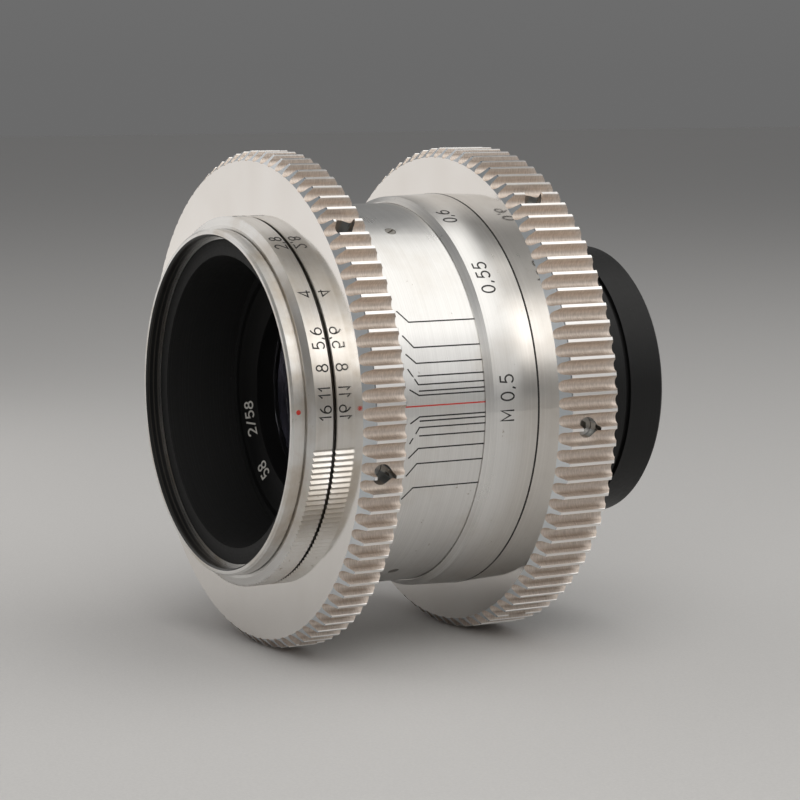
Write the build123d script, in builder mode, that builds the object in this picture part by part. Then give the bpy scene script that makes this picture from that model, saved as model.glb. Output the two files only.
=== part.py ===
"""Silver preset-aperture lens with two follow-focus gear rings and a threaded rear tube.

The optical axis is Y. The origin is the centre of the rear tube's end face, +Y points out of the
rear tube, +Z is up, and the lens is set at its closest focus with the iris stopped down.
Angles about the axis run from +X towards +Z. All sizes are millimetres and degrees.
"""

import os
from math import asin, cos, degrees, pi, radians, sin, sqrt

from build123d import *

os.makedirs("parts", exist_ok=True)

# ---------------------------------------------------------------- driving dimensions
# Rear tube and its base
tube_length = 17.4
tube_radius = 21.2
tube_bore = 19.2
thread_radius = 21.0
thread_length = 6.0
thread_relief_width = 1.0
thread_relief_radius = 20.4
tube_flange_radius = 26.0
tube_flange_thickness = 1.5
plate_thickness = 2.5

# Follow-focus gears
teeth = 90
gear_module = 0.8
tooth_depth = 1.5
space_bottom_radius = 0.9
crest_land = 0.42
front_chamfer_axial = 1.45
front_chamfer_radial = 1.4
rear_chamfer_axial = 0.6
rear_chamfer_radial = 0.9
focus_gear_width = 9.6
iris_gear_width = 6.6
gear_screw_radius = 1.45
gear_screw_length = 4.0
gear_screw_count = 6
gear_wall_behind_plate = 1.0

# Focusing mount
focus_throw = 286.0
focus_travel = 8.97
focus_ring_wall = 1.25
focus_ring_taper = 0.3
focus_ring_lip = 0.15
focus_ring_bevel = 0.9
focus_ring_reach = 8.2
barrel_wall = 0.9
barrel_flange = 2.0
barrel_engagement = 1.2
nut_wall = 0.8
carrier_wall = 1.75
guide_sleeve_wall = 0.95
guide_sleeve_length = 14.1
nut_front_reach = 13.1
nut_flange_length = 5.5
guide_key_width = 3.0
guide_key_length = 4.0
guide_key_height = 1.0
barrel_screw_radius = 0.5
barrel_screw_head_radius = 0.8
barrel_screw_head_depth = 0.5

# Iris control rings and the front
preset_wall = 2.05
aperture_ring_wall = 2.2
aperture_ring_setback = 0.3
ring_gap = 0.25
preset_length = 3.45
preset_bevel_axial = 0.6
preset_bevel_radial = 1.3
shoulder_height = 2.3
front_ring_step = 0.3
front_ring_face = 1.9
front_ring_wall = 1.0
filter_thread_length = 2.2
front_ring_seat_step = 0.5
recess_wall = 1.0
recess_depth = 13.5
aperture_travel = 88.0
iris_gear_gap = 0.3
knurl_pitch = 1.8
knurl_count = 136
knurl_first = -9.0
knurl_depth = 0.32
knurl_width = 0.74
detent_angles = (3.0, 9.2, 16.6, 24.5, 41.3, 63.0, 91.0)
detent_ball_radius = 0.7

# Core, glass and iris
core_radius = 22.6
front_group_length = 14.2
core_wall = 2.2
rear_cell_radius = 18.8
rear_cell_reach = 8.0
link_wall = 0.75
link_arc = 8.0
front_glass_radius = 16.0
doublet_radius = 14.5
rear_glass_radius = 13.0
blade_count = 8
blade_thickness = 0.12
blade_pitch = 0.18
blade_inner_radius = 12.6
blade_outer_radius = 17.9
blade_span = 114.0
blade_lug_radius = 1.2
blade_closing_angle = 33.0
post_circle = 18.6
post_radius = 0.5
iris_plate_thickness = 0.8
cam_ring_thickness = 1.0

# Clearances
running = 0.05
seat = 0.02
axial_gap = 0.3
loose = 0.25
screw_clearance = 0.05

# ---------------------------------------------------------------- stations along the axis (y)
plate_rear = -tube_length
plate_front = plate_rear - plate_thickness
focus_gear_rear = plate_rear - gear_wall_behind_plate
focus_gear_front = focus_gear_rear - focus_gear_width
focus_ring_front = focus_gear_front - focus_ring_reach
barrel_rear = focus_ring_front + barrel_engagement
nut_rear = plate_front - axial_gap
nut_flange_front = nut_rear - nut_flange_length
nut_front = plate_front - nut_front_reach
guide_front = plate_front - guide_sleeve_length
carrier_rear = plate_front - focus_travel - axial_gap
carrier_flange_rear = nut_front - focus_travel - axial_gap + 0.07
carrier_flange_length = 2.8
carrier_front = carrier_flange_rear - carrier_flange_length
barrel_screw_place = carrier_flange_rear - 1.1
barrel_length = 17.8
barrel_front = barrel_rear - barrel_length
iris_gear_rear = barrel_front - iris_gear_gap
iris_gear_front = iris_gear_rear - iris_gear_width
aperture_rear = iris_gear_rear - 0.1
shoulder_rear = aperture_rear - 1.4
aperture_front = iris_gear_front + aperture_ring_setback
preset_rear = iris_gear_front - ring_gap
preset_front = preset_rear - preset_length
front_ring_shoulder = preset_front - 0.2
front_edge = front_ring_shoulder - front_ring_face
front_ring_rear = aperture_front - 0.2
core_front = front_edge + filter_thread_length
recess_floor = front_edge + recess_depth
core_rear = carrier_rear
rear_cell_rear = core_rear + rear_cell_reach

# ---------------------------------------------------------------- radii worked out from the above
tip_radius = gear_module * (teeth + 2) / 2
root_radius = tip_radius - tooth_depth
link_bore = core_radius + loose
link_radius = link_bore + link_wall
guide_bore = link_radius + loose + running
guide_radius = guide_bore + guide_sleeve_wall
carrier_bore = guide_radius + running
carrier_radius = carrier_bore + carrier_wall
nut_bore = carrier_radius + running
nut_radius = nut_bore + nut_wall
barrel_bore = nut_radius + 4 * running
barrel_radius = barrel_bore + barrel_wall
focus_ring_bore = barrel_radius + running
focus_ring_radius = focus_ring_bore + focus_ring_wall
nut_seat_radius = focus_ring_bore - seat
plate_radius = focus_ring_bore - axial_gap
shoulder_radius = core_radius + shoulder_height
aperture_bore = shoulder_radius + running
aperture_ring_radius = aperture_bore + aperture_ring_wall
front_ring_radius = shoulder_radius + 0.6
bearing_radius = front_ring_radius - front_ring_step
preset_bore = bearing_radius + running
band_radius = preset_bore + preset_wall
filter_thread_radius = front_ring_radius - front_ring_wall
front_seat_radius = filter_thread_radius - front_ring_seat_step
recess_radius = core_radius - recess_wall
cell_radius = core_radius - core_wall
cell_outer = cell_radius - running


# ---------------------------------------------------------------- shared constructions
def turned(points, mode=Mode.ADD):
    """Turn a closed outline of (radius, y) corners about the optical axis."""
    with BuildSketch(Plane.XY) as outline:
        with BuildLine():
            Polyline(*points, close=True)
        make_face()
    revolve(outline.sketch, axis=Axis.Y, mode=mode)


def band(inner, outer, front, rear, mode=Mode.ADD):
    """Turn a plain ring between two radii and two stations."""
    turned(((inner, front), (outer, front), (outer, rear), (inner, rear)), mode)


def meridian(angle):
    """Plane through the optical axis whose x direction points out at this angle."""
    return Plane(
        origin=(0, 0, 0),
        x_dir=(cos(radians(angle)), 0, sin(radians(angle))),
        z_dir=(-sin(radians(angle)), 0, cos(radians(angle))),
    )


def sector(inner, outer, front, rear, middle, arc, mode=Mode.ADD):
    """Turn part of a ring, arc degrees wide, centred on the angle middle."""
    with BuildSketch(meridian(middle + arc / 2)) as outline:
        with BuildLine():
            Polyline((inner, front), (outer, front), (outer, rear), (inner, rear), close=True)
        make_face()
    revolve(outline.sketch, axis=Axis.Y, revolution_arc=arc, mode=mode)


def spoke(angle, y, radius):
    """Plane facing outwards at this angle, station and radius."""
    out = Vector(cos(radians(angle)), 0, sin(radians(angle)))
    side = Vector(-sin(radians(angle)), 0, cos(radians(angle)))
    return Plane(origin=out * radius + Vector(0, y, 0), x_dir=side, z_dir=out)


def drill(planes, radius, depth, mode=Mode.SUBTRACT):
    """Cut or add a round pin of this depth outwards from each plane."""
    with BuildSketch(*planes) as circles:
        Circle(radius)
    extrude(circles.sketch, amount=depth, mode=mode)


def cross_section(y):
    """Plane across the axis at station y, facing the front."""
    return Plane.XZ.offset(-y)


def cut_tooth_spaces(front, rear, phase):
    """Cut the spaces between the teeth; a tooth is centred on the angle phase."""
    bottom = root_radius + space_bottom_radius
    half_mouth = (2 * pi * tip_radius / teeth - crest_land) / 2
    mouth = tip_radius - bottom
    beyond = 0.4
    slope = (half_mouth - space_bottom_radius) / mouth
    half_outer = half_mouth + slope * beyond
    with BuildSketch() as space:
        with BuildLine():
            outer_top = (mouth + beyond, half_outer)
            outer_low = (mouth + beyond, -half_outer)
            Line(outer_low, outer_top)
            Line(outer_top, (0, space_bottom_radius))
            ThreePointArc((0, space_bottom_radius), (-space_bottom_radius, 0), (0, -space_bottom_radius))
            Line((0, -space_bottom_radius), outer_low)
        make_face()
    with BuildSketch(cross_section(rear + 1)) as spaces:
        with PolarLocations(bottom, teeth, start_angle=phase + 180 / teeth):
            add(space.sketch)
    extrude(spaces.sketch, amount=rear - front + 2, mode=Mode.SUBTRACT)


def gear_blank(front, rear, bore):
    """Turn a flat gear ring with chamfered tooth ends."""
    turned(
        (
            (bore, front),
            (tip_radius - front_chamfer_radial, front),
            (tip_radius, front + front_chamfer_axial),
            (tip_radius, rear - rear_chamfer_axial),
            (tip_radius - rear_chamfer_radial, rear),
            (bore, rear),
        )
    )


def cut_knurl(front, rear):
    """Cut the fine straight knurl on the part of a control ring that carries no numbers."""
    with BuildSketch(cross_section(rear + 1)) as notches:
        span = knurl_pitch * (knurl_count - 1)
        with PolarLocations(band_radius, knurl_count, start_angle=knurl_first - span, angular_range=span,
                            endpoint=True):
            Polygon((-knurl_depth, 0), (0.1, -knurl_width * 0.7), (0.1, knurl_width * 0.7), align=None)
    extrude(notches.sketch, amount=rear - front + 2, mode=Mode.SUBTRACT)


def half_arc(radius, vertex, sag):
    """Middle point of a spherical half profile from the axis to the edge."""
    sphere = (radius**2 + sag**2) / (2 * sag)
    rise = abs(sphere) - sqrt(sphere**2 - (radius / 2) ** 2)
    return (radius / 2, vertex + (rise if sag > 0 else -rise))


def lens(radius, front, front_sag, rear, rear_sag):
    """Turn a glass element; each sag is how far the edge lies behind that face's vertex."""
    with BuildSketch(Plane.XY) as profile:
        with BuildLine():
            ThreePointArc((0, front), half_arc(radius, front, front_sag), (radius, front + front_sag))
            Line((radius, front + front_sag), (radius, rear + rear_sag))
            ThreePointArc((radius, rear + rear_sag), half_arc(radius, rear, rear_sag), (0, rear))
            Line((0, rear), (0, front))
        make_face()
    revolve(profile.sketch, axis=Axis.Y)


# ---------------------------------------------------------------- rear tube and base (fixed)
mount_screw_angles = [45, 135, 225, 315]
mount_screw_circle = (tube_radius + tube_flange_radius) / 2
mount_screw_radius = 0.9
mount_screw_head_radius = 1.6
mount_screw_reach = 1.6
end_chamfer = 0.5

with BuildPart() as mount_tube:
    turned(
        (
            (tube_bore, plate_rear),
            (tube_flange_radius, plate_rear),
            (tube_flange_radius, plate_rear + tube_flange_thickness),
            (tube_radius, plate_rear + tube_flange_thickness),
            (tube_radius, -thread_length - thread_relief_width),
            (thread_relief_radius, -thread_length - thread_relief_width),
            (thread_relief_radius, -thread_length),
            (thread_radius, -thread_length),
            (thread_radius, -end_chamfer),
            (thread_radius - end_chamfer, 0),
            (tube_bore, 0),
        )
    )
    with BuildSketch(cross_section(plate_rear + tube_flange_thickness)):
        with PolarLocations(mount_screw_circle, len(mount_screw_angles), start_angle=mount_screw_angles[0]):
            Circle(mount_screw_radius + screw_clearance)
    extrude(amount=tube_flange_thickness, mode=Mode.SUBTRACT)
    with BuildSketch(cross_section(plate_rear + tube_flange_thickness)):
        with PolarLocations(mount_screw_circle, len(mount_screw_angles), start_angle=mount_screw_angles[0]):
            Circle(mount_screw_head_radius + screw_clearance)
    extrude(amount=tube_flange_thickness / 2, mode=Mode.SUBTRACT)
mount_tube.part.label = "mount_tube"
export_step(mount_tube.part, "parts/mount_tube.step")

retaining_groove_radius = plate_radius - 0.5
retaining_groove_front = plate_rear - 1.9
retaining_groove_width = 1.0
retaining_screw_radius = 0.4
retaining_screw_angles = [30, 150, 270]
stop_pin_radius = 0.4
stop_pin_circle = nut_radius - nut_wall / 2
stop_groove_depth = 0.9
stop_pin_angle = 60.0
stop_groove_arc = focus_throw + 2 * degrees(asin(stop_pin_radius / stop_pin_circle)) + 0.6
stop_groove_middle = stop_pin_angle - focus_throw / 2

with BuildPart() as rear_plate:
    band(tube_bore, plate_radius, plate_front, plate_rear)
    band(retaining_groove_radius, plate_radius + 1, retaining_groove_front,
         retaining_groove_front + retaining_groove_width, Mode.SUBTRACT)
    sector(stop_pin_circle - stop_pin_radius - running, stop_pin_circle + stop_pin_radius + running,
           plate_front - 1, plate_front + stop_groove_depth, stop_groove_middle, stop_groove_arc,
           Mode.SUBTRACT)
    with BuildSketch(cross_section(plate_rear)):
        with PolarLocations(mount_screw_circle, len(mount_screw_angles), start_angle=mount_screw_angles[0]):
            Circle(mount_screw_radius + screw_clearance)
    extrude(amount=mount_screw_reach, mode=Mode.SUBTRACT)
rear_plate.part.label = "rear_plate"
export_step(rear_plate.part, "parts/rear_plate.step")

with BuildPart() as mount_screws:
    with BuildSketch(cross_section(plate_rear + tube_flange_thickness)):
        with PolarLocations(mount_screw_circle, len(mount_screw_angles), start_angle=mount_screw_angles[0]):
            Circle(mount_screw_head_radius)
    extrude(amount=tube_flange_thickness / 2)
    with BuildSketch(cross_section(plate_rear + tube_flange_thickness / 2)):
        with PolarLocations(mount_screw_circle, len(mount_screw_angles), start_angle=mount_screw_angles[0]):
            Circle(mount_screw_radius)
    extrude(amount=tube_flange_thickness / 2 + mount_screw_reach - 0.1)
    with BuildSketch(cross_section(plate_rear + tube_flange_thickness)):
        with PolarLocations(mount_screw_circle, len(mount_screw_angles), start_angle=mount_screw_angles[0]):
            Rectangle(2 * mount_screw_head_radius + 1, 0.5)
    extrude(amount=0.35, mode=Mode.SUBTRACT)
mount_screws.part.label = "mount_screws"
export_step(mount_screws.part, "parts/mount_screws.step")

guide_key_front = guide_front + 0.7
guide_key_angles = [90, 270]
guide_key_seat = guide_radius - 0.6

with BuildPart() as guide_sleeve:
    band(guide_bore, guide_radius, guide_front, plate_front)
    for angle in guide_key_angles:
        with BuildSketch(spoke(angle, guide_key_front + guide_key_length / 2, guide_key_seat)):
            Rectangle(guide_key_width + 2 * seat, guide_key_length + 2 * seat)
        extrude(amount=2, mode=Mode.SUBTRACT)
guide_sleeve.part.label = "guide_sleeve"
export_step(guide_sleeve.part, "parts/guide_sleeve.step")

with BuildPart() as guide_keys:
    for angle in guide_key_angles:
        with BuildSketch(spoke(angle, guide_key_front + guide_key_length / 2, guide_key_seat)):
            Rectangle(guide_key_width, guide_key_length)
        extrude(amount=guide_radius - guide_key_seat + guide_key_height)
guide_keys.part.label = "guide_keys"
export_step(guide_keys.part, "parts/guide_keys.step")

baffle_opening = 17.0
baffle_thickness = 0.8
baffle_place = -4.0

with BuildPart() as rear_baffle:
    turned(
        (
            (baffle_opening, baffle_place),
            (tube_bore - seat, baffle_place - 1.5),
            (tube_bore - seat, baffle_place + baffle_thickness),
            (baffle_opening, baffle_place + baffle_thickness / 2),
        )
    )
rear_baffle.part.label = "rear_baffle"
export_step(rear_baffle.part, "parts/rear_baffle.step")

# ---------------------------------------------------------------- focusing ring, its gear and nut
retaining_screw_place = retaining_groove_front + retaining_groove_width / 2

with BuildPart() as focus_ring:
    turned(
        (
            (focus_ring_bore, focus_ring_front),
            (focus_ring_bore + focus_ring_lip, focus_ring_front),
            (focus_ring_radius - focus_ring_taper, focus_ring_front + focus_ring_bevel),
            (focus_ring_radius, focus_gear_front),
            (focus_ring_radius, focus_gear_rear),
            (focus_ring_bore, focus_gear_rear),
        )
    )
    drill([spoke(angle, retaining_screw_place, focus_ring_bore - 1) for angle in retaining_screw_angles],
          retaining_screw_radius + screw_clearance, 5)
focus_ring.part.label = "focus_ring"
export_step(focus_ring.part, "parts/focus_ring.step")

with BuildPart() as focus_retaining_screws:
    drill([spoke(angle, retaining_screw_place, retaining_groove_radius + 0.1)
           for angle in retaining_screw_angles],
          retaining_screw_radius, focus_ring_radius - retaining_groove_radius - 0.2, Mode.ADD)
focus_retaining_screws.part.label = "focus_retaining_screws"
export_step(focus_retaining_screws.part, "parts/focus_retaining_screws.step")

with BuildPart() as helicoid_nut:
    turned(
        (
            (nut_bore, nut_front),
            (nut_radius, nut_front),
            (nut_radius, nut_flange_front),
            (nut_seat_radius, nut_flange_front),
            (nut_seat_radius, nut_rear),
            (nut_bore, nut_rear),
        )
    )
    with BuildSketch(cross_section(nut_rear)):
        with PolarLocations(stop_pin_circle, 1, start_angle=stop_pin_angle):
            Circle(stop_pin_radius - seat)
    extrude(amount=-(axial_gap + stop_groove_depth - 0.2))
helicoid_nut.part.label = "helicoid_nut"
export_step(helicoid_nut.part, "parts/helicoid_nut.step")

focus_gear_bore = focus_ring_radius + seat
focus_gear_phase = 0.3
focus_screw_first = focus_gear_phase - 4.0
focus_screw_place = (focus_gear_front + focus_gear_rear) / 2
focus_screw_planes = [
    spoke(focus_screw_first + 360 / gear_screw_count * n, focus_screw_place, focus_gear_bore + 0.02)
    for n in range(gear_screw_count)
]

with BuildPart() as focus_gear:
    gear_blank(focus_gear_front, focus_gear_rear, focus_gear_bore)
    cut_tooth_spaces(focus_gear_front, focus_gear_rear, focus_gear_phase)
    drill(focus_screw_planes, gear_screw_radius + screw_clearance, tip_radius)
focus_gear.part.label = "focus_gear"
export_step(focus_gear.part, "parts/focus_gear.step")

with BuildPart() as focus_gear_screws:
    drill(focus_screw_planes, gear_screw_radius, gear_screw_length, Mode.ADD)
    with BuildSketch(*[plane.offset(gear_screw_length) for plane in focus_screw_planes]):
        RegularPolygon(gear_screw_radius * 0.55, 6)
    extrude(amount=-1.2, mode=Mode.SUBTRACT)
focus_gear_screws.part.label = "focus_gear_screws"
export_step(focus_gear_screws.part, "parts/focus_gear_screws.step")

# ---------------------------------------------------------------- sliding barrel and helicoid
barrel_screw_angles = [62, 180, 300]
slot_middle_at_rest = 150.0
slot_arc = aperture_travel + link_arc + 1.0
slot_middle = slot_middle_at_rest - aperture_travel / 2
link_slot_clearance = 0.1

with BuildPart() as scale_barrel:
    turned(
        (
            (core_radius + seat, barrel_front),
            (barrel_radius, barrel_front),
            (barrel_radius, barrel_rear),
            (barrel_bore, barrel_rear),
            (barrel_bore, barrel_front + barrel_flange),
            (core_radius + seat, barrel_front + barrel_flange),
        )
    )
    sector(core_radius, link_radius + link_slot_clearance, barrel_front - 1, barrel_front + barrel_flange + 1,
           slot_middle, slot_arc, Mode.SUBTRACT)
    drill([spoke(angle, barrel_screw_place, barrel_bore - 1) for angle in barrel_screw_angles],
          barrel_screw_radius + screw_clearance, 5)
    drill([spoke(angle, barrel_screw_place, barrel_radius - barrel_screw_head_depth)
           for angle in barrel_screw_angles],
          barrel_screw_head_radius + screw_clearance, 5)
scale_barrel.part.label = "scale_barrel"
export_step(scale_barrel.part, "parts/scale_barrel.step")

barrel_screw_tip = carrier_radius - 1.0

with BuildPart() as helicoid_carrier:
    turned(
        (
            (carrier_bore, carrier_front),
            (barrel_bore - seat, carrier_front),
            (barrel_bore - seat, carrier_flange_rear),
            (carrier_radius, carrier_flange_rear),
            (carrier_radius, carrier_rear),
            (carrier_bore, carrier_rear),
        )
    )
    slot_front = guide_key_front - focus_travel - axial_gap
    for angle in guide_key_angles:
        with BuildSketch(spoke(angle, (slot_front + carrier_rear + 1) / 2, carrier_bore - 1)):
            Rectangle(guide_key_width + 2 * running, carrier_rear + 1 - slot_front)
        extrude(amount=guide_key_height + 1.1, mode=Mode.SUBTRACT)
    drill([spoke(angle, barrel_screw_place, barrel_screw_tip - 0.2) for angle in barrel_screw_angles],
          barrel_screw_radius + screw_clearance, 5)
helicoid_carrier.part.label = "helicoid_carrier"
export_step(helicoid_carrier.part, "parts/helicoid_carrier.step")

with BuildPart() as barrel_screws:
    drill([spoke(angle, barrel_screw_place, barrel_screw_tip) for angle in barrel_screw_angles],
          barrel_screw_radius, barrel_radius - 0.1 - barrel_screw_tip, Mode.ADD)
    drill([spoke(angle, barrel_screw_place, barrel_radius - barrel_screw_head_depth)
           for angle in barrel_screw_angles],
          barrel_screw_head_radius, barrel_screw_head_depth - 0.06, Mode.ADD)
    with BuildSketch(*[spoke(angle, barrel_screw_place, barrel_radius) for angle in barrel_screw_angles]):
        Rectangle(0.25, 2 * barrel_screw_head_radius + 1, rotation=35)
    extrude(amount=-0.3, mode=Mode.SUBTRACT)
barrel_screws.part.label = "barrel_screws"
export_step(barrel_screws.part, "parts/barrel_screws.step")

# ---------------------------------------------------------------- core tube and front ring
plate_seat = recess_floor + front_group_length
blades_front = plate_seat + iris_plate_thickness
blades_rear = blades_front + blade_count * blade_pitch
cam_front = blades_rear + 0.16
cam_rear = cam_front + cam_ring_thickness
cam_middle = (cam_front + cam_rear) / 2
link_pin_radius = 0.45
link_slot_margin = 0.2
detent_place = (preset_front + preset_rear) / 2
detent_hole = detent_ball_radius + running
detent_ball_centre = preset_bore - running - detent_ball_radius

with BuildPart() as core_tube:
    turned(
        (
            (recess_radius, core_front),
            (front_seat_radius - seat, core_front),
            (front_seat_radius - seat, front_ring_rear),
            (shoulder_radius, front_ring_rear),
            (shoulder_radius, shoulder_rear),
            (core_radius, shoulder_rear),
            (core_radius, core_rear),
            (cell_radius, core_rear),
            (cell_radius, recess_floor),
            (recess_radius, recess_floor),
        )
    )
    sector(cell_radius - 1, core_radius + 1, cam_middle - link_pin_radius - link_slot_margin,
           cam_middle + link_pin_radius + link_slot_margin, slot_middle, slot_arc, Mode.SUBTRACT)
    drill([spoke(detent_angles[0], detent_place, recess_radius + 0.6)], detent_hole, 5)
core_tube.part.label = "core_tube"
export_step(core_tube.part, "parts/core_tube.step")

with BuildPart() as front_ring:
    turned(
        (
            (filter_thread_radius + 0.25, front_edge),
            (front_ring_radius - 0.3, front_edge),
            (front_ring_radius, front_edge + 0.3),
            (front_ring_radius, front_ring_shoulder),
            (bearing_radius, front_ring_shoulder),
            (bearing_radius, front_ring_rear),
            (front_seat_radius, front_ring_rear),
            (front_seat_radius, core_front),
            (filter_thread_radius, core_front),
            (filter_thread_radius, front_edge + 0.25),
        )
    )
    drill([spoke(detent_angles[0], detent_place, front_seat_radius - 1)], detent_hole, 5)
front_ring.part.label = "front_ring"
export_step(front_ring.part, "parts/front_ring.step")

with BuildPart() as detent_ball:
    with Locations(spoke(detent_angles[0], detent_place, detent_ball_centre).location):
        Sphere(detent_ball_radius)
detent_ball.part.label = "detent_ball"
export_step(detent_ball.part, "parts/detent_ball.step")

spring_foot = recess_radius + 0.62
with BuildPart() as detent_spring:
    drill([spoke(detent_angles[0], detent_place, spring_foot)], 0.6,
          detent_ball_centre - detent_ball_radius - 0.02 - spring_foot, Mode.ADD)
    drill([spoke(detent_angles[0], detent_place, spring_foot - 1)], 0.4, 5)
detent_spring.part.label = "detent_spring"
export_step(detent_spring.part, "parts/detent_spring.step")

# ---------------------------------------------------------------- preset ring
edge_break = 0.12

with BuildPart() as preset_ring:
    turned(
        (
            (preset_bore, preset_front),
            (band_radius - preset_bevel_radial, preset_front),
            (band_radius, preset_front + preset_bevel_axial),
            (band_radius, preset_rear - edge_break),
            (band_radius - edge_break, preset_rear),
            (preset_bore, preset_rear),
        )
    )
    cut_knurl(preset_front, preset_rear)
    drill([spoke(angle, detent_place, preset_bore - 1) for angle in detent_angles], 0.4, 1.2)
preset_ring.part.label = "preset_ring"
export_step(preset_ring.part, "parts/preset_ring.step")

# ---------------------------------------------------------------- aperture ring, iris gear, linkage
with BuildPart() as aperture_ring:
    turned(
        (
            (aperture_bore, aperture_front),
            (aperture_ring_radius, aperture_front),
            (aperture_ring_radius, aperture_rear),
            (core_radius + 0.15, aperture_rear),
            (core_radius + 0.15, shoulder_rear + 0.15),
            (aperture_bore, shoulder_rear + 0.15),
        )
    )
    sector(core_radius, link_radius + seat, shoulder_rear, aperture_rear + 1, slot_middle_at_rest,
           link_arc + 0.1, Mode.SUBTRACT)
aperture_ring.part.label = "aperture_ring"
export_step(aperture_ring.part, "parts/aperture_ring.step")

iris_gear_bore = aperture_ring_radius + seat
iris_gear_phase = 1.0
iris_screw_first = iris_gear_phase - 12.0
iris_screw_place = (iris_gear_front + iris_gear_rear) / 2
iris_screw_planes = [
    spoke(iris_screw_first + 360 / gear_screw_count * n, iris_screw_place, iris_gear_bore + 0.02)
    for n in range(gear_screw_count)
]

with BuildPart() as iris_gear:
    gear_blank(iris_gear_front, iris_gear_rear, iris_gear_bore)
    cut_tooth_spaces(iris_gear_front, iris_gear_rear, iris_gear_phase)
    drill(iris_screw_planes, gear_screw_radius + screw_clearance, tip_radius)
iris_gear.part.label = "iris_gear"
export_step(iris_gear.part, "parts/iris_gear.step")

with BuildPart() as iris_gear_screws:
    drill(iris_screw_planes, gear_screw_radius, gear_screw_length + 1, Mode.ADD)
    with BuildSketch(*[plane.offset(gear_screw_length + 1) for plane in iris_screw_planes]):
        RegularPolygon(gear_screw_radius * 0.55, 6)
    extrude(amount=-1.2, mode=Mode.SUBTRACT)
iris_gear_screws.part.label = "iris_gear_screws"
export_step(iris_gear_screws.part, "parts/iris_gear_screws.step")

with BuildPart() as drive_link:
    sector(link_bore, link_radius, aperture_rear - 1.0, cam_rear, slot_middle_at_rest, link_arc)
    drill([spoke(slot_middle_at_rest, cam_middle, cell_radius - 1.4)], link_pin_radius,
          link_bore + 0.2 - cell_radius + 1.4, Mode.ADD)
drive_link.part.label = "drive_link"
export_step(drive_link.part, "parts/drive_link.step")

cam_bore = blade_inner_radius - 0.1
cam_radius = cell_radius - 0.2

with BuildPart() as iris_cam_ring:
    band(cam_bore, cam_radius, cam_front, cam_rear)
    drill([spoke(slot_middle_at_rest, cam_middle, cell_radius - 1.5)], link_pin_radius + seat, 5)
    with BuildSketch(cross_section(cam_rear + 1)):
        with PolarLocations((cam_bore + cam_radius) / 2, blade_count, start_angle=20):
            SlotOverall(4.6, 0.9)
    extrude(amount=cam_ring_thickness + 2, mode=Mode.SUBTRACT)
iris_cam_ring.part.label = "iris_cam_ring"
export_step(iris_cam_ring.part, "parts/iris_cam_ring.step")

# ---------------------------------------------------------------- iris plate, blades and retainer
with BuildPart() as iris_plate:
    band(cam_bore, cell_outer, plate_seat, blades_front)
    with BuildSketch(cross_section(blades_rear)):
        with PolarLocations(post_circle, blade_count):
            Circle(post_radius)
    extrude(amount=blades_rear - blades_front)
iris_plate.part.label = "iris_plate"
export_step(iris_plate.part, "parts/iris_plate.step")

for n in range(blade_count):
    post_angle = 360 / blade_count * n
    post_x = post_circle * cos(radians(post_angle))
    post_z = post_circle * sin(radians(post_angle))
    turned_angle = radians(post_angle + blade_closing_angle)
    centre_x = post_x - post_circle * cos(turned_angle)
    centre_z = post_z - post_circle * sin(turned_angle)
    first = post_angle + blade_closing_angle - 2
    layer = blades_front + 0.04 + blade_pitch * n
    with BuildPart() as blade:
        with BuildSketch(cross_section(layer + blade_thickness)):
            with BuildLine():
                outer = CenterArc((centre_x, centre_z), blade_outer_radius, first, blade_span)
                inner = CenterArc((centre_x, centre_z), blade_inner_radius, first, blade_span)
                Line(outer @ 0, inner @ 0)
                Line(outer @ 1, inner @ 1)
            make_face()
            with Locations((post_x, post_z)):
                Circle(blade_lug_radius)
                Circle(post_radius + running, mode=Mode.SUBTRACT)
        extrude(amount=blade_thickness)
    blade.part.label = f"blade_{n + 1}"
    export_step(blade.part, f"parts/blade_{n + 1}.step")

retainer_thickness = 0.6
retainer_front = cam_rear + 0.15

with BuildPart() as iris_retainer:
    band(cam_bore, cell_outer, retainer_front, retainer_front + retainer_thickness)
iris_retainer.part.label = "iris_retainer"
export_step(iris_retainer.part, "parts/iris_retainer.step")

# ---------------------------------------------------------------- front glass group
name_ring_thickness = 1.4
name_ring_opening = front_glass_radius - 0.5
glass_seat = 0.02
front_glass_front = recess_floor + name_ring_thickness
front_glass_edge = 2.25
front_glass_sag = 2.6
front_glass_thickness = 5.2
doublet_front = front_glass_front + front_glass_thickness - 0.1
doublet_sag = 3.4

with BuildPart() as name_ring:
    turned(
        (
            (cell_outer, recess_floor),
            (cell_outer, recess_floor + name_ring_thickness),
            (name_ring_opening, recess_floor + name_ring_thickness),
            (name_ring_opening, recess_floor + name_ring_thickness - 0.35),
            (cell_outer - 0.9, recess_floor),
        )
    )
name_ring.part.label = "name_ring"
export_step(name_ring.part, "parts/name_ring.step")

front_bore_floor = front_glass_front + front_glass_sag + front_glass_edge

with BuildPart() as front_cell:
    turned(
        (
            (front_glass_radius + glass_seat, front_glass_front + seat),
            (cell_outer, front_glass_front + seat),
            (cell_outer, plate_seat - seat),
            (cam_bore, plate_seat - seat),
            (cam_bore, plate_seat - 0.6),
            (doublet_radius + glass_seat, plate_seat - 0.6),
            (doublet_radius + glass_seat, front_bore_floor),
            (front_glass_radius + glass_seat, front_bore_floor),
        )
    )
front_cell.part.label = "front_cell"
export_step(front_cell.part, "parts/front_cell.step")

with BuildPart() as front_element:
    lens(front_glass_radius, front_glass_front + 0.2, front_glass_sag,
         front_glass_front + front_glass_thickness - 0.6, 0.2)
front_element.part.label = "front_element"
export_step(front_element.part, "parts/front_element.step")

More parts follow.
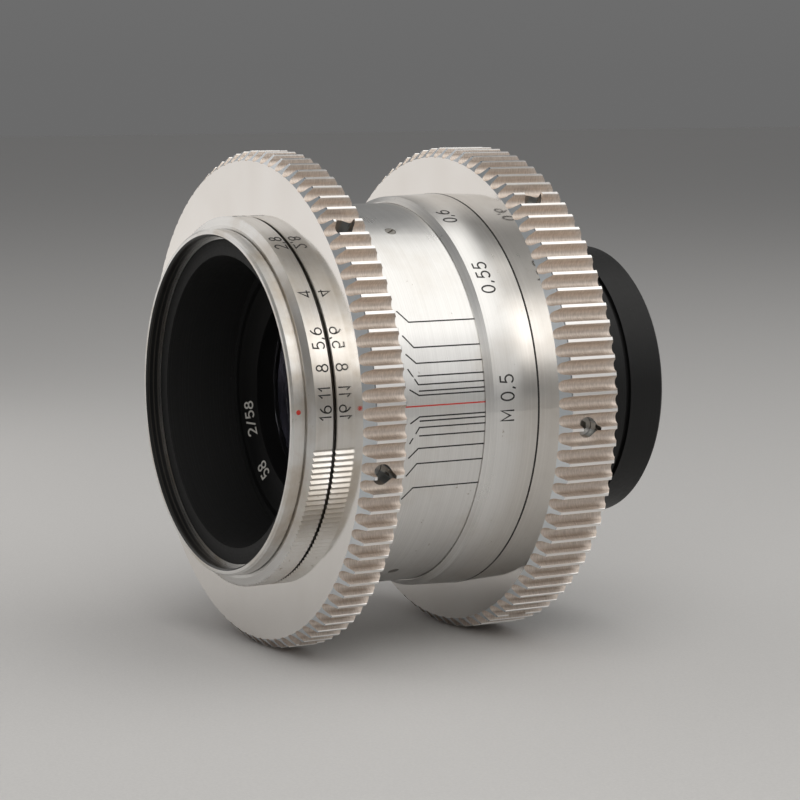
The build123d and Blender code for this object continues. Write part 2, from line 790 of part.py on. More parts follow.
cement_vertex = doublet_front + 4.6
doublet_rear = doublet_front + 5.5
with BuildPart() as front_doublet_crown:
    lens(doublet_radius, doublet_front, doublet_sag, cement_vertex, 0.6)
front_doublet_crown.part.label = "front_doublet_crown"
export_step(front_doublet_crown.part, "parts/front_doublet_crown.step")

with BuildPart() as front_doublet_flint:
    lens(doublet_radius, cement_vertex, 0.6, doublet_rear, 1.5)
front_doublet_flint.part.label = "front_doublet_flint"
export_step(front_doublet_flint.part, "parts/front_doublet_flint.step")

# ---------------------------------------------------------------- rear glass group
rear_group_front = retainer_front + retainer_thickness + seat
rear_glass_rear = rear_cell_rear - 1.2

with BuildPart() as rear_cell:
    turned(
        (
            (cam_bore, rear_group_front),
            (cell_outer, rear_group_front),
            (cell_outer, core_rear),
            (rear_cell_radius, core_rear),
            (rear_cell_radius, rear_cell_rear),
            (rear_glass_radius + glass_seat, rear_cell_rear),
            (rear_glass_radius + glass_seat, rear_group_front + 0.4),
            (cam_bore, rear_group_front + 0.4),
        )
    )
rear_cell.part.label = "rear_cell"
export_step(rear_cell.part, "parts/rear_cell.step")

rear_doublet_front = rear_group_front + 3.2
rear_cement_vertex = rear_doublet_front + 0.9
with BuildPart() as rear_doublet_flint:
    lens(rear_glass_radius, rear_doublet_front, -2.7, rear_cement_vertex, 0.5)
rear_doublet_flint.part.label = "rear_doublet_flint"
export_step(rear_doublet_flint.part, "parts/rear_doublet_flint.step")

with BuildPart() as rear_doublet_crown:
    lens(rear_glass_radius, rear_cement_vertex, 0.5, rear_cement_vertex + 3.6, -2.3)
rear_doublet_crown.part.label = "rear_doublet_crown"
export_step(rear_doublet_crown.part, "parts/rear_doublet_crown.step")

spacer_front = rear_cement_vertex + 3.6 - 2.3 + 0.3
rear_element_front = rear_cement_vertex + 3.6 + 0.4
with BuildPart() as rear_element:
    lens(rear_glass_radius, rear_element_front, 0.9, rear_glass_rear, -1.0)
rear_element.part.label = "rear_element"
export_step(rear_element.part, "parts/rear_element.step")

with BuildPart() as rear_spacer:
    band(rear_glass_radius - 0.7, rear_glass_radius - running, spacer_front, rear_element_front + 0.75)
rear_spacer.part.label = "rear_spacer"
export_step(rear_spacer.part, "parts/rear_spacer.step")

with BuildPart() as rear_retainer:
    band(rear_glass_radius - 0.9, rear_glass_radius - seat, rear_glass_rear - 0.85, rear_cell_rear - 0.2)
rear_retainer.part.label = "rear_retainer"
export_step(rear_retainer.part, "parts/rear_retainer.step")
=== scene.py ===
"""Looks for a silver preset-aperture lens with two follow-focus gear rings.

The lens lies on its gears with the optical axis along Y: front at -Y, rear tube at +Y.
Angles about the axis run from +X towards +Z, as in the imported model.
"""

from math import cos, pi, radians, sin

import bpy
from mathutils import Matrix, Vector


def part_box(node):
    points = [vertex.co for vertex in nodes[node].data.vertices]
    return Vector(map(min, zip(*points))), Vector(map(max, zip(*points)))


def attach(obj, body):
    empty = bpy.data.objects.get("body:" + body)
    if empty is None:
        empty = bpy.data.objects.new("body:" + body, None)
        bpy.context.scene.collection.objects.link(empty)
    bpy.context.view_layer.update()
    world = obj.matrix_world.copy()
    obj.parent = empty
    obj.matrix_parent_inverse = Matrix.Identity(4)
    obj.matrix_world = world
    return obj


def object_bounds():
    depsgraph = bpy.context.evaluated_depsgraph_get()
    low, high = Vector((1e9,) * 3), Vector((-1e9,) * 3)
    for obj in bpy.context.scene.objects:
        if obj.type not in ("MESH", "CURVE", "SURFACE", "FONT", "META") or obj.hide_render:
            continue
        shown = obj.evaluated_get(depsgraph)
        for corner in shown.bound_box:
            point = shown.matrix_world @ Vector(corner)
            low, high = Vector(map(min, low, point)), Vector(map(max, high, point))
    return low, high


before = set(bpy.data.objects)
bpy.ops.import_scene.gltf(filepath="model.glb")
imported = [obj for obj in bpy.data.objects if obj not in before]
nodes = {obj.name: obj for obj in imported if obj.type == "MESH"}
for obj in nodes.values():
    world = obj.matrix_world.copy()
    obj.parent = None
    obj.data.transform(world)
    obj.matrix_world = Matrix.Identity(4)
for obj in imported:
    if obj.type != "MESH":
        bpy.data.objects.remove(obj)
cad_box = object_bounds()

MM = 0.001

INDEX_ANGLE = 3.0          # degrees: where the red marks and the scales in use line up
MARK_HEIGHT = 0.018 * MM   # paint stands this far proud of the metal
MARK_DEPTH = 0.03 * MM     # and reaches this far into it
FILTER_THREAD_PITCH = 0.75 * MM
CREST_HIGHLIGHT_START = 0.16 * MM    # painted highlight on a tooth's crest starts this far below its tip
CREST_HIGHLIGHT_FULL = 0.05 * MM     # and is at full strength from here
PATINA = (0.50, 0.42, 0.32)
PIT = (0.30, 0.24, 0.18)


# ---------------------------------------------------------------- measures from the frame
def reach(name):
    """Largest radius about the optical axis of a node."""
    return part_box(name)[1][0]


def span(name):
    """Front and rear y of a node."""
    low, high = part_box(name)
    return low[1], high[1]


barrel_radius = reach("scale_barrel")
focus_radius = reach("focus_ring")
front_radius = reach("front_ring")
tip_radius = reach("focus_gear")
preset_front, preset_rear = span("preset_ring")
front_ring_front = span("front_ring")[0]
focus_front = span("focus_ring")[0]
barrel_front, barrel_rear = span("scale_barrel")
name_ring_front = span("name_ring")[0]
preset_radius = 27.3 * MM  # number band of the preset ring


# ---------------------------------------------------------------- materials
class Graph:
    """Small helper that adds shader nodes and links them."""

    def __init__(self, name):
        self.material = bpy.data.materials.new(name)
        self.material.use_nodes = True
        self.tree = self.material.node_tree
        self.shader = self.tree.nodes["Principled BSDF"]
        coordinates = self.tree.nodes.new("ShaderNodeTexCoord")
        self.position = coordinates.outputs["Object"]
        self.normal = coordinates.outputs["Normal"]

    def link(self, source, target):
        self.tree.links.new(source, target)

    def value(self, target, source):
        if isinstance(source, (int, float)):
            target.default_value = source
        else:
            self.link(source, target)

    def math(self, operation, first, second=0.0, clamp=False):
        node = self.tree.nodes.new("ShaderNodeMath")
        node.operation = operation
        node.use_clamp = clamp
        self.value(node.inputs[0], first)
        self.value(node.inputs[1], second)
        return node.outputs[0]

    def split(self, vector):
        node = self.tree.nodes.new("ShaderNodeSeparateXYZ")
        self.link(vector, node.inputs[0])
        return node.outputs

    def join(self, x, y, z):
        node = self.tree.nodes.new("ShaderNodeCombineXYZ")
        for target, source in zip(node.inputs, (x, y, z)):
            self.value(target, source)
        return node.outputs[0]

    def noise(self, vector, scale, detail=3.0, roughness=0.5):
        node = self.tree.nodes.new("ShaderNodeTexNoise")
        self.link(vector, node.inputs["Vector"])
        node.inputs["Scale"].default_value = scale
        node.inputs["Detail"].default_value = detail
        node.inputs["Roughness"].default_value = roughness
        return node.outputs["Fac"]

    def ramp(self, factor, stops):
        node = self.tree.nodes.new("ShaderNodeValToRGB")
        self.link(factor, node.inputs["Fac"])
        elements = node.color_ramp.elements
        while len(elements) < len(stops):
            elements.new(0.5)
        for element, (place, colour) in zip(elements, stops):
            element.position = place
            element.color = (*colour, 1.0)
        return node.outputs["Color"]

    def level(self, factor, low, high, out_low=0.0, out_high=1.0):
        node = self.tree.nodes.new("ShaderNodeMapRange")
        self.link(factor, node.inputs["Value"])
        node.inputs["From Min"].default_value = low
        node.inputs["From Max"].default_value = high
        node.inputs["To Min"].default_value = out_low
        node.inputs["To Max"].default_value = out_high
        return node.outputs["Result"]

    def mix(self, factor, first, second):
        node = self.tree.nodes.new("ShaderNodeMix")
        node.data_type = "RGBA"
        self.value(node.inputs["Factor"], factor)
        for socket, source in ((node.inputs["A"], first), (node.inputs["B"], second)):
            if isinstance(source, tuple):
                socket.default_value = (*source, 1.0)
            else:
                self.link(source, socket)
        return node.outputs["Result"]

    def bump(self, height, strength, distance):
        node = self.tree.nodes.new("ShaderNodeBump")
        node.inputs["Strength"].default_value = strength
        node.inputs["Distance"].default_value = distance
        self.link(height, node.inputs["Height"])
        self.link(node.outputs["Normal"], self.shader.inputs["Normal"])

    def radius(self):
        x, _, z = self.split(self.position)
        squares = self.math("ADD", self.math("MULTIPLY", x, x), self.math("MULTIPLY", z, z))
        return self.math("SQRT", squares)

    def outward(self):
        """How far the surface faces away from the optical axis, from -1 to 1."""
        x, _, z = self.split(self.position)
        turn_x, _, turn_z = self.split(self.normal)
        along_x, along_z = self.math("MULTIPLY", x, turn_x), self.math("MULTIPLY", z, turn_z)
        return self.math("DIVIDE", self.math("ADD", along_x, along_z), self.radius())

    def lathe(self):
        """Coordinates in which a noise gives rings round the optical axis."""
        return self.join(self.radius(), self.split(self.position)[1], 0.0)


def plain(name, colour, roughness, metallic=0.0, grain=0.0):
    """Even finish with a fine grain, for paint, ink and small fasteners."""
    g = Graph(name)
    g.shader.inputs["Metallic"].default_value = metallic
    fine = g.noise(g.position, 2500.0, 2.0)
    darker = tuple(c * 0.82 for c in colour)
    g.link(g.mix(fine, darker, colour), g.shader.inputs["Base Color"])
    g.link(g.level(fine, 0.3, 0.7, roughness * 0.85, roughness * 1.15), g.shader.inputs["Roughness"])
    if grain:
        g.bump(fine, grain, 0.00002)
    return g.material


def gear_metal():
    """Raw aluminium: mirror-turned faces, tooth crests painted bright as a highlight, bright chamfers,
    dull warm tooth spaces.
    """
    g = Graph("gear_aluminium")
    facing = g.math("ABSOLUTE", g.split(g.normal)[1])
    on_face = g.level(facing, 0.93, 0.97)
    on_chamfer = g.level(facing, 0.25, 0.5)
    crest_highlight = g.level(g.radius(), tip_radius - CREST_HIGHLIGHT_START, tip_radius - CREST_HIGHLIGHT_FULL)
    x, y, z = g.split(g.position)
    short_x, short_z = g.math("MULTIPLY", x, 0.25), g.math("MULTIPLY", z, 0.25)
    cross = g.noise(g.join(short_x, y, short_z), 5000.0, 4.0, 0.6)
    along = g.noise(g.join(x, g.math("MULTIPLY", y, 0.08), z), 7000.0, 2.0, 0.5)
    clouds = g.noise(g.position, 130.0, 4.0)
    rings = g.noise(g.lathe(), 16000.0, 2.0, 0.6)
    space = g.ramp(cross, [(0.30, (0.53, 0.455, 0.395)), (0.70, (0.75, 0.665, 0.595))])
    space = g.mix(g.level(along, 0.3, 0.7, 0.0, 0.25), space, (0.78, 0.715, 0.655))
    # Painted highlight: the crests are mixed towards a near-white colour
    with_crest_highlight = g.mix(crest_highlight, space, (0.93, 0.91, 0.885))
    chamfer = g.ramp(clouds, [(0.35, (0.60, 0.64, 0.67)), (0.7, (0.76, 0.78, 0.80))])
    face = g.ramp(clouds, [(0.3, (0.80, 0.77, 0.735)), (0.7, (0.84, 0.815, 0.785))])
    g.link(g.mix(on_face, g.mix(on_chamfer, with_crest_highlight, chamfer), face), g.shader.inputs["Base Color"])
    g.shader.inputs["Metallic"].default_value = 1.0
    rough_space = g.math("SUBTRACT", 0.54, g.math("MULTIPLY", crest_highlight, 0.24))
    rough_side = g.math("SUBTRACT", rough_space, g.math("MULTIPLY", on_chamfer, 0.22))
    rough_face = g.level(clouds, 0.3, 0.7, 0.06, 0.09)
    change = g.math("MULTIPLY", on_face, g.math("SUBTRACT", rough_face, rough_side))
    g.link(g.math("ADD", rough_side, change), g.shader.inputs["Roughness"])
    cut_marks = g.math("MULTIPLY", g.math("ADD", cross, along), g.math("SUBTRACT", 1.0, on_face))
    height = g.math("ADD", g.math("MULTIPLY", cut_marks, 0.4), g.math("MULTIPLY", rings, 0.03))
    g.bump(height, 0.3, 0.00006)
    return g.material


def aged_silver(name, brown, roughness, line_depth, black_inside=False):
    """Old satin aluminium with fine turned lines, specks and brown patina in patches."""
    g = Graph(name)
    clouds = g.noise(g.position, 90.0, 5.0, 0.6)
    specks = g.noise(g.position, 700.0, 3.0, 0.6)
    lines = g.noise(g.lathe(), 9000.0, 2.0, 0.7)
    metal = g.ramp(lines, [(0.25, (0.70, 0.69, 0.67)), (0.75, (0.83, 0.82, 0.80))])
    stained = g.mix(g.level(clouds, 0.48, 0.72, 0.0, brown), metal, PATINA)
    pitted = g.mix(g.level(specks, 0.70, 0.76, 0.0, 0.6), stained, PIT)
    g.shader.inputs["Metallic"].default_value = 1.0
    if black_inside:
        inside = g.level(g.outward(), -0.55, -0.35, 1.0, 0.0)
        turns = g.math("MULTIPLY", g.split(g.position)[1], 2 * pi / FILTER_THREAD_PITCH)
        thread_shading = g.math("SINE", turns)
        # Painted shade: the thread is drawn as darker and lighter stripes in place of its lit and
        # shaded flanks
        black = g.mix(g.level(thread_shading, 0.3, 1.0), (0.008, 0.008, 0.008), (0.045, 0.041, 0.036))
        pitted = g.mix(inside, pitted, black)
        g.link(g.math("SUBTRACT", 1.0, inside), g.shader.inputs["Metallic"])
    g.link(pitted, g.shader.inputs["Base Color"])
    wear = g.level(clouds, 0.3, 0.8, roughness, roughness + 0.14)
    turned = g.math("MULTIPLY", lines, 0.05)
    g.link(g.math("ADD", wear, turned), g.shader.inputs["Roughness"])
    g.bump(lines, line_depth, 0.00002)
    return g.material


def black_metal(name, colour, roughness, lines=0.2):
    """Black finish with fine turned lines that catch a little light."""
    g = Graph(name)
    rings = g.noise(g.lathe(), 5000.0, 2.0, 0.6)
    dust = g.noise(g.position, 1500.0, 3.0, 0.7)
    lighter = tuple(c * 2.2 + 0.004 for c in colour)
    g.shader.inputs["Specular IOR Level"].default_value = 0.28
    # Painted sheen: the turned lines are coloured lighter, as where they catch light
    turned_line_sheen = g.mix(g.level(rings, 0.45, 0.75, 0.0, 0.5), colour, lighter)
    dusty = g.mix(g.level(dust, 0.68, 0.8, 0.0, 0.35), turned_line_sheen, (0.10, 0.095, 0.09))
    g.link(dusty, g.shader.inputs["Base Color"])
    g.link(g.level(dust, 0.2, 0.8, roughness - 0.06, roughness + 0.1), g.shader.inputs["Roughness"])
    g.bump(rings, lines, 0.00004)
    return g.material


def coated_glass():
    """Dark coated glass with a faint violet-blue cast."""
    g = Graph("coated_glass")
    smear = g.noise(g.position, 160.0, 2.0)
    g.link(g.level(smear, 0.3, 0.7, 0.01, 0.03), g.shader.inputs["Roughness"])
    g.shader.inputs["Base Color"].default_value = (0.84, 0.84, 0.87, 1.0)
    g.shader.inputs["Transmission Weight"].default_value = 1.0
    g.shader.inputs["IOR"].default_value = 1.6
    g.shader.inputs["Coat Weight"].default_value = 0.2
    g.shader.inputs["Coat Tint"].default_value = (0.93, 0.91, 1.0, 1.0)
    return g.material


gear_aluminium = gear_metal()
barrel_silver = aged_silver("barrel_silver", 0.25, 0.24, 0.35)
front_silver = aged_silver("front_silver", 0.85, 0.27, 0.18, black_inside=True)
ring_silver = aged_silver("ring_silver", 0.55, 0.25, 0.2)
tube_black = black_metal("tube_black", (0.005, 0.005, 0.005), 0.42)
recess_black = black_metal("recess_black", (0.012, 0.012, 0.012), 0.62, 0.3)
screw_steel = plain("screw_steel", (0.40, 0.38, 0.35), 0.38, 1.0, 0.15)
blade_black = plain("blade_black", (0.03, 0.03, 0.033), 0.35, 1.0, 0.1)
brass = plain("brass", (0.62, 0.45, 0.2), 0.3, 1.0, 0.1)
ink = plain("ink", (0.018, 0.017, 0.016), 0.5)
red_paint = plain("red_paint", (0.55, 0.035, 0.02), 0.45)
white_paint = plain("white_paint", (0.75, 0.73, 0.68), 0.5)
glass = coated_glass()

finish_of = {
    gear_aluminium: ["iris_gear", "focus_gear"],
    barrel_silver: ["scale_barrel", "focus_ring"],
    ring_silver: ["preset_ring", "aperture_ring"],
    front_silver: ["front_ring"],
    tube_black: ["mount_tube", "rear_plate", "rear_cell", "front_cell", "name_ring"],
    recess_black: ["core_tube", "rear_baffle", "iris_plate", "iris_retainer"],
    brass: ["helicoid_nut", "helicoid_carrier", "guide_sleeve"],
    glass: ["front_element", "front_doublet_crown", "front_doublet_flint", "rear_doublet_flint",
            "rear_doublet_crown", "rear_element"],
    blade_black: [f"blade_{n}" for n in range(1, 9)],
    screw_steel: ["mount_screws", "focus_retaining_screws", "focus_gear_screws", "iris_gear_screws",
                  "barrel_screws", "detent_ball", "detent_spring", "drive_link", "rear_spacer",
                  "rear_retainer", "guide_keys", "iris_cam_ring"],
}
for material, names in finish_of.items():
    for name in names:
        mesh = nodes[name].data
        mesh.materials.clear()
        mesh.materials.append(material)


# ---------------------------------------------------------------- engraved marks
def arc(centre_x, centre_y, radius_x, radius_y, start, end, steps=14):
    """Points along an elliptical arc."""
    angles = [radians(start + (end - start) * i / steps) for i in range(steps + 1)]
    return [(centre_x + radius_x * cos(a), centre_y + radius_y * sin(a)) for a in angles]


# Single-line characters in a box 1 high; each is (width, list of strokes).
GLYPHS = {
    "0": (0.60, [arc(0.30, 0.50, 0.27, 0.50, 90, 450, 24)]),
    "1": (0.34, [[(0.02, 0.72), (0.24, 1.0), (0.24, 0.0)]]),
    "2": (0.58, [arc(0.29, 0.72, 0.26, 0.28, 170, -40) + [(0.02, 0.0), (0.57, 0.0)]]),
    "4": (0.62, [[(0.46, 0.0), (0.46, 1.0), (0.02, 0.27), (0.62, 0.27)]]),
    "5": (0.58, [[(0.52, 1.0), (0.12, 1.0), (0.07, 0.54)] + arc(0.28, 0.31, 0.28, 0.31, 118, -150)]),
    "6": (0.58, [arc(0.29, 0.29, 0.27, 0.29, 0, 360, 20), arc(0.62, 0.32, 0.60, 0.68, 180, 112, 8)]),
    "7": (0.56, [[(0.02, 1.0), (0.55, 1.0), (0.18, 0.0)]]),
    "8": (0.58, [arc(0.29, 0.76, 0.21, 0.24, -90, 270, 20), arc(0.29, 0.26, 0.27, 0.26, 90, 450, 20)]),
    ",": (0.20, [[(0.12, 0.08), (0.03, -0.16)]]),
    "/": (0.45, [[(0.02, -0.05), (0.40, 1.05)]]),
    "M": (0.74, [[(0.03, 0.0), (0.03, 1.0), (0.37, 0.30), (0.71, 1.0), (0.71, 0.0)]]),
}
LETTER_GAP = 0.20
DOT_SIDES = 20


def text_strokes(text, height):
    """Strokes of a line of text, centred, in metres: x along the text, y up its letters."""
    strokes = []
    x = 0.0
    for character in text:
        width, lines = GLYPHS[character]
        strokes += [[(x + u, v) for u, v in line] for line in lines]
        x += width + LETTER_GAP
    middle = (x - LETTER_GAP) / 2
    return [[((u - middle) * height, v * height) for u, v in line] for line in strokes]


def ribbon_outline(points, width):
    """Left and right edges of a flat stroke through the points."""
    left, right = [], []
    for i, (x, y) in enumerate(points):
        before = points[max(i - 1, 0)]
        after = points[min(i + 1, len(points) - 1)]
        into = Vector((x - before[0], y - before[1]))
        out = Vector((after[0] - x, after[1] - y))
        if into.length == 0:
            into = out
        if out.length == 0:
            out = into
        direction = (into.normalized() + out.normalized()).normalized()
        stretch = 1 / max(direction.dot(out.normalized()), 0.5)
        side = Vector((-direction.y, direction.x)) * width / 2 * stretch
        left.append((x + side.x, y + side.y))
        right.append((x - side.x, y - side.y))
    return left, right


class Marks:
    """Collects painted strokes on turned surfaces into one mesh."""

    def __init__(self, name, body, slot, material):
        self.name, self.body = name, body
        self.slot, self.material = slot, material
        self.vertices, self.faces = [], []

    def section(self, near, far):
        """The four corners across a stroke, each with its lift off the surface."""
        return (near, MARK_HEIGHT), (far, MARK_HEIGHT), (far, -MARK_DEPTH), (near, -MARK_DEPTH)

    def stroke(self, points, width, radius_at):
        """Add a stroke; points are (angle in radians, y) and radius_at gives the surface."""
        scale = radius_at(points[0][1])
        flat = [(angle * scale, y) for angle, y in points]
        left, right = ribbon_outline(flat, width)
        start = len(self.vertices)
        for near, far in zip(left, right):
            for (s, y), lift in self.section(near, far):
                radius = radius_at(y) + lift
                angle = s / scale
                self.vertices.append((radius * cos(angle), y, radius * sin(angle)))
        self.skin(start, len(points))

    def skin(self, start, count):
        """Close a run of four-cornered sections, the first corner of which is vertex start."""
        for i in range(count - 1):
            base = start + 4 * i
            for k in range(4):
                self.faces.append((base + k, base + (k + 1) % 4, base + 4 + (k + 1) % 4, base + 4 + k))
        end = start + 4 * (count - 1)
        self.faces.append((start + 3, start + 2, start + 1, start))
        self.faces.append((end, end + 1, end + 2, end + 3))

    def face_text(self, text, angle, radius, height, width, y_at):
        """Write text clockwise on a face seen from the front, its letters' tops outwards."""
        for line in text_strokes(text, height):
            start = len(self.vertices)
            for near, far in zip(*ribbon_outline(line, width)):
                for (u, v), lift in self.section(near, far):
                    place = radius + v
                    turn = radians(angle) - u / radius
                    self.vertices.append((place * cos(turn), y_at(place) - lift, place * sin(turn)))
            self.skin(start, len(line))

    def text(self, text, angle, y, height, width, radius_at):
        """Write text along the rising angle with its letters' tops towards the front."""
        for line in text_strokes(text, height):
            placed = [(radians(angle) + u / radius_at(y), y + height / 2 - v) for u, v in line]
            self.stroke(placed, width, radius_at)

    def dot(self, angle, y, size, radius_at):
        """A small round spot of paint."""
        scale = radius_at(y)
        first = len(self.vertices)
        count = DOT_SIDES
        for lift in (MARK_HEIGHT, -MARK_DEPTH):
            for i in range(count):
                turn = 2 * pi * i / count
                place_y = y + size / 2 * sin(turn)
                place = radians(angle) + size / 2 * cos(turn) / scale
                radius = radius_at(place_y) + lift
                self.vertices.append((radius * cos(place), place_y, radius * sin(place)))
        top = [first + i for i in range(count)]
        low = [first + count + i for i in range(count)]
        self.faces.append(tuple(top))
        self.faces.append(tuple(reversed(low)))
        for i in range(count):
            j = (i + 1) % count
            self.faces.append((top[j], top[i], low[i], low[j]))

    def build(self):
        mesh = bpy.data.meshes.new(self.name)
        mesh.from_pydata(self.vertices, [], self.faces)
        mesh.update()
        mesh.materials.append(self.material)
        piece = bpy.data.objects.new(self.name, mesh)
        bpy.context.collection.objects.link(piece)
        bpy.context.view_layer.objects.active = piece
        piece.select_set(True)
        bpy.ops.object.mode_set(mode="EDIT")
        bpy.ops.mesh.select_all(action="SELECT")
        bpy.ops.mesh.normals_make_consistent(inside=False)
        bpy.ops.object.mode_set(mode="OBJECT")
        piece.select_set(False)
        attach(piece, self.body)
        return piece


# Aperture numbers on the preset ring: stop and degrees above the index
PRESET_NUMBERS = {
    "16": -0.4, "11": 5.6, "8": 12.8, "5,6": 21.8, "4": 36.6, "2,8": 59.0, "2": 87.0,
}
PRESET_LETTER, PRESET_STROKE = 1.8 * MM, 0.21 * MM
preset_middle = (preset_front + preset_rear) / 2 + 0.42 * MM
numbers = Marks("preset_numbers", "preset", "black_anodised", ink)
for stop, above in PRESET_NUMBERS.items():
    numbers.text(stop, INDEX_ANGLE + above, preset_middle, PRESET_LETTER, PRESET_STROKE,
                 lambda y: preset_radius)
numbers.build()

# Distance scale on the focus ring: its band widens a little towards the gear
BAND_FRONT_RADIUS = 29.6 * MM
bevel_end = focus_front + 0.9 * MM
gear_face = span("focus_gear")[0]


def focus_band(y):
    """Radius of the focus ring's scale band."""
    share = min(max((y - bevel_end) / (gear_face - bevel_end), 0.0), 1.0)
    return BAND_FRONT_RADIUS + (focus_radius - BAND_FRONT_RADIUS) * share


# Distances in metres, each with its degrees above the index
DISTANCES = {
    "M": -4.1, "0,5": 3.6, "0,55": 36.4, "0,6": 63.1, "0,7": 104.0, "0,8": 135.0, "1": 172.0,
}
DISTANCE_LETTER, DISTANCE_STROKE = 2.1 * MM, 0.24 * MM
scale_middle = focus_front + 3.1 * MM
distances = Marks("distance_numbers", "focus", "black_anodised", ink)
for label, above in DISTANCES.items():
    distances.text(label, INDEX_ANGLE + above, scale_middle, DISTANCE_LETTER, DISTANCE_STROKE,
                   focus_band)
distances.build()

# Depth-of-field fan: each stop's pair of lines stands off the index in proportion to the stop
DEGREES_PER_STOP = 1.52
LINE_WIDTH = 0.2 * MM
LINE_LENGTH = 12.0 * MM    # straight part, up to the barrel's rear
FAN_LENGTH = 1.5 * MM      # slanted part in front of it
FANNED = {2: 1.8, 4: 4.6, 8: 2.8, 11: 3.7, 16: 3.6}  # stop and the degrees its slant gains
SHORT = (2.8, 5.6)         # stops with straight lines only
fan_bend = barrel_rear - LINE_LENGTH
fan_front = fan_bend - FAN_LENGTH
line_rear = focus_front - 0.02 * MM


def on_barrel(y):
    """Radius of the barrel, the same at every station."""
    return barrel_radius


depth = Marks("depth_lines", "carrier", "black_anodised", ink)
for side in (-1, 1):
    for stop, spread in FANNED.items():
        off = radians(INDEX_ANGLE + side * DEGREES_PER_STOP * stop)
        away = off + side * radians(spread)
        line = [(away, fan_front), (off, fan_bend), (off, line_rear)]
        depth.stroke(line, LINE_WIDTH, on_barrel)
    for stop in SHORT:
        off = radians(INDEX_ANGLE + side * DEGREES_PER_STOP * stop)
        depth.stroke([(off, fan_bend), (off, line_rear)], LINE_WIDTH, on_barrel)
depth.build()

# Red index: a line on the barrel and a dot on the front ring
DOT_SIZE = 0.7 * MM
DOT_FROM_RIM = 0.95 * MM
index = Marks("index_line", "carrier", "body_aluminium", red_paint)
index_angle = radians(INDEX_ANGLE)
line = [(index_angle, barrel_front + 0.3 * MM), (index_angle, line_rear)]
index.stroke(line, LINE_WIDTH, on_barrel)
index.dot(INDEX_ANGLE, front_ring_front + DOT_FROM_RIM, DOT_SIZE, lambda y: front_radius)
index.build()

# Focal length and widest stop on the dished face round the front glass
dish_outer = reach("name_ring") - 0.9 * MM
DISH_INNER = 15.5 * MM
DISH_DEPTH = 1.05 * MM


def dish(radius):
    """Station of the name ring's face at a radius."""
    return name_ring_front + DISH_DEPTH * (dish_outer - radius) / (dish_outer - DISH_INNER)


DATA_PLACES = {"2/58": 197.0, "58": 226.0, "0,5M": 300.0, "1/2": 60.0}
DATA_LETTER, DATA_STROKE = 1.8 * MM, 0.27 * MM
data_radius = (dish_outer + DISH_INNER) / 2 - DATA_LETTER / 2
lens_data = Marks("lens_data", "carrier", "black_anodised", white_paint)
for label, angle in DATA_PLACES.items():
    lens_data.face_text(label, angle, data_radius, DATA_LETTER, DATA_STROKE, dish)
lens_data.build()

# Painted shadow: a thin dark ink ring where the focus gear's face meets its ring, standing in for the
# shade in the gap
GAP_SHADOW_STEPS = 180
GAP_SHADOW_WIDTH = 0.13 * MM
gap_shadow_middle = gear_face - 0.08 * MM
gap_shadow = Marks("gear_gap_shadow", "focus", "black_anodised", ink)
circle = [(2 * pi * i / GAP_SHADOW_STEPS, gap_shadow_middle) for i in range(GAP_SHADOW_STEPS + 1)]
gap_shadow.stroke(circle, GAP_SHADOW_WIDTH, focus_band)
gap_shadow.build()

# ---------------------------------------------------------------- stage, lights and camera
FLOOR_HALF = 3.0
FLOOR_BELOW = 0.1 * MM
floor_z = cad_box[0][2] - FLOOR_BELOW
signs = [(-1, -1), (1, -1), (1, 1), (-1, 1)]
corners = [(FLOOR_HALF * x, FLOOR_HALF * y, floor_z) for x, y in signs]
floor_mesh = bpy.data.meshes.new("floor")
floor_mesh.from_pydata(corners, [], [(0, 1, 2, 3)])
floor = bpy.data.objects.new("floor", floor_mesh)
bpy.context.collection.objects.link(floor)
floor_mesh.materials.append(plain("floor_paint", (0.68, 0.67, 0.66), 0.7))

axis_middle = Vector((0, (cad_box[0][1] + cad_box[1][1]) / 2, 0))


def soft_light(name, place, size, power, colour):
    """Rectangular lamp aimed at the middle of the lens; place and size are in metres."""
    data = bpy.data.lights.new(name, "AREA")
    data.size = size[0]
    data.shape = "RECTANGLE"
    data.size_y = size[1]
    data.energy = power
    data.color = colour
    lamp = bpy.data.objects.new(name, data)
    lamp.location = place
    lamp.rotation_euler = (axis_middle - Vector(place)).to_track_quat("-Z", "Y").to_euler()
    lamp.visible_camera = False
    bpy.context.collection.objects.link(lamp)


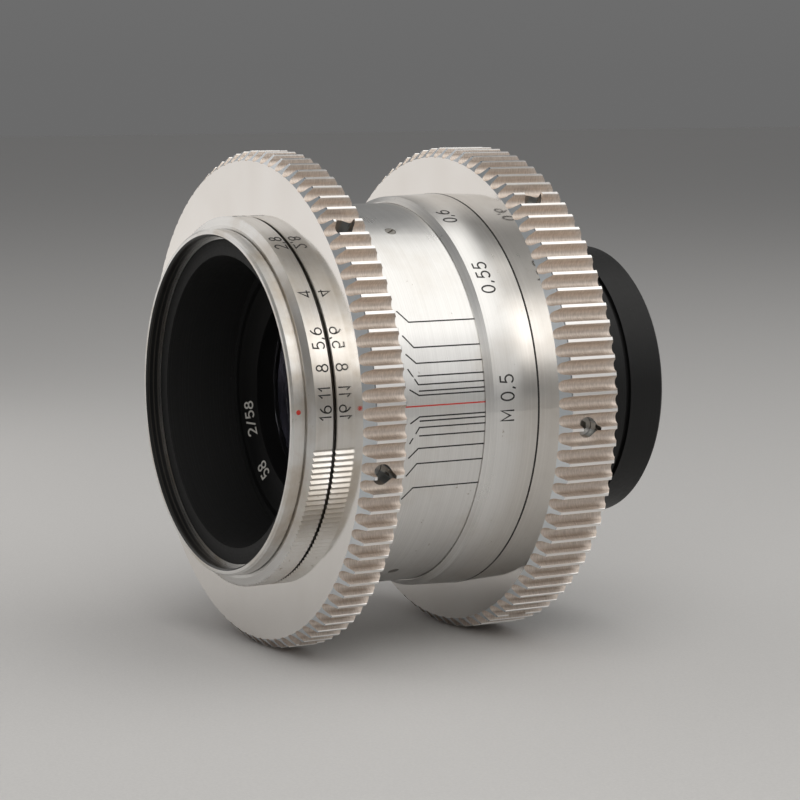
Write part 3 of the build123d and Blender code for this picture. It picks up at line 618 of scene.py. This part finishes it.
# Place, size, power in watts and colour
LAMPS = {
    "overhead": ((0.20, 0.12, 0.62), (1.0, 0.9), 3.2, (1.0, 0.985, 0.955)),
    "beside_front": ((-0.20, -0.17, 0.10), (0.30, 0.27), 0.17, (1.0, 0.97, 0.94)),
    "behind_right": ((0.50, 0.33, 0.25), (0.40, 0.36), 0.35, (1.0, 0.99, 0.975)),
    "above_camera": ((0.44, -0.30, 0.33), (0.34, 0.34), 0.8, (1.0, 0.985, 0.965)),
}
for name, (place, size, power, colour) in LAMPS.items():
    soft_light(name, place, size, power, colour)

# The sky fades from the far floor's tone at the horizon to a lighter one above
HORIZON_TONE, UPPER_TONE = 0.145, 0.215
FADE_TOP = 0.35
world = bpy.data.worlds.new("studio")
bpy.context.scene.world = world
world.use_nodes = True
sky = world.node_tree.nodes
direction = sky.new("ShaderNodeTexCoord")
height = sky.new("ShaderNodeSeparateXYZ")
fade = sky.new("ShaderNodeMapRange")
tone = sky.new("ShaderNodeCombineColor")
fade.inputs["From Max"].default_value = FADE_TOP
fade.inputs["To Min"].default_value = HORIZON_TONE
fade.inputs["To Max"].default_value = UPPER_TONE
join = world.node_tree.links.new
join(direction.outputs["Generated"], height.inputs[0])
join(height.outputs["Z"], fade.inputs["Value"])
for channel in tone.inputs:
    join(fade.outputs["Result"], channel)
join(tone.outputs["Color"], sky["Background"].inputs["Color"])

CAMERA_PLACE = (0.3533, -0.2315, 0.0483)
CAMERA_AIM = (0.0, -0.0342, -0.00145)
CAMERA_LENS = 120.2
CAMERA_SENSOR = 36.0
camera_data = bpy.data.cameras.new("camera")
camera_data.sensor_width = CAMERA_SENSOR
camera_data.lens = CAMERA_LENS
camera = bpy.data.objects.new("camera", camera_data)
camera.location = CAMERA_PLACE
view = Vector(CAMERA_AIM) - Vector(CAMERA_PLACE)
camera.rotation_euler = view.to_track_quat("-Z", "Y").to_euler()
bpy.context.collection.objects.link(camera)
bpy.context.scene.camera = camera
bpy.context.scene.view_settings.view_transform = "Standard"
